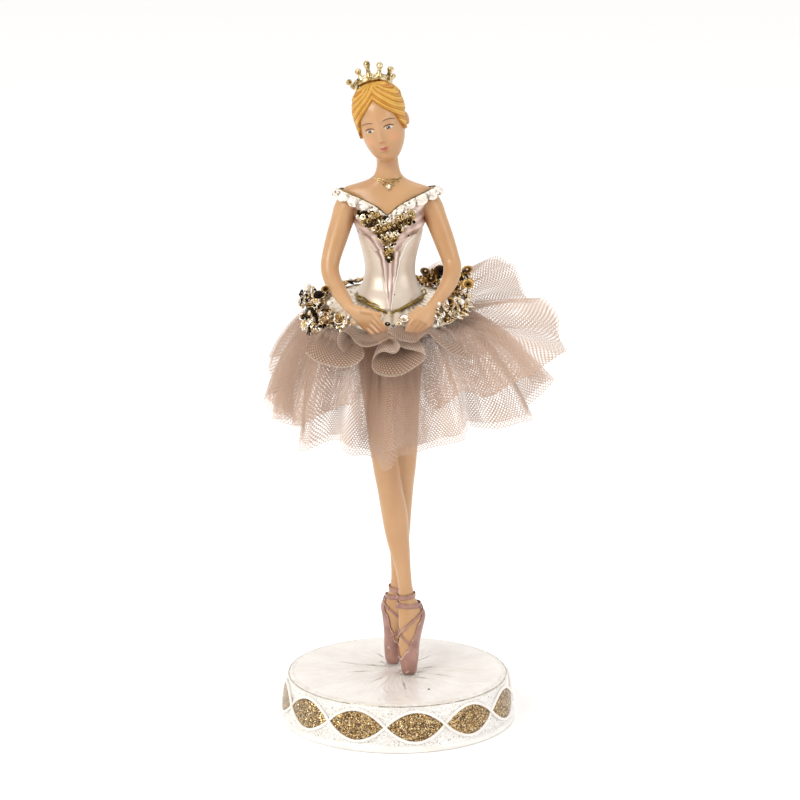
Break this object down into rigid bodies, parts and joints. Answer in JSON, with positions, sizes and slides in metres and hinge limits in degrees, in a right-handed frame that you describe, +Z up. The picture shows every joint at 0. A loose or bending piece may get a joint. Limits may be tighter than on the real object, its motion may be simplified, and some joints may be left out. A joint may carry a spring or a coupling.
{
  "type": "ballerina figurine",
  "caption": "Cast resin ballerina on pointe, hands low before a gathered tulle tutu, with a gilt crown and sequinned hips, on a round plinth with lens-shaped glitter panels.",
  "frame": {"origin": "centre of the plinth's underside", "axes": "+Z up the figure, -Y the way the dancer faces, +X to the dancer's left"},
  "size_m": [0.137, 0.1251, 0.3006],
  "materials": {
    "pearl_lacquer": "pearl white lacquer on cast resin",
    "gold_glitter": "coarse gold glitter set in glue",
    "painted_resin": "hand-painted cast resin under satin varnish",
    "antique_gold": "bright antique gilding",
    "sequins": "metallised film sequins and beads",
    "tulle": "soft hexagonal net"
  },
  "bodies": {
    "root": {"plinth": "pearl_lacquer", "glitter_fill_01": "gold_glitter", "glitter_fill_02": "gold_glitter", "glitter_fill_03": "gold_glitter", "glitter_fill_04": "gold_glitter", "glitter_fill_05": "gold_glitter", "glitter_fill_06": "gold_glitter", "glitter_fill_07": "gold_glitter", "glitter_fill_08": "gold_glitter", "glitter_fill_09": "gold_glitter", "glitter_fill_10": "gold_glitter", "glitter_fill_11": "gold_glitter", "glitter_fill_12": "gold_glitter", "dancer": "painted_resin", "crown": "antique_gold", "bodice_beads": "sequins", "hip_trim": "sequins", "tutu_front_ruffle": "tulle", "tutu_top_layer": "tulle", "tutu_under_layer": "tulle"}
  },
  "joints": []
}
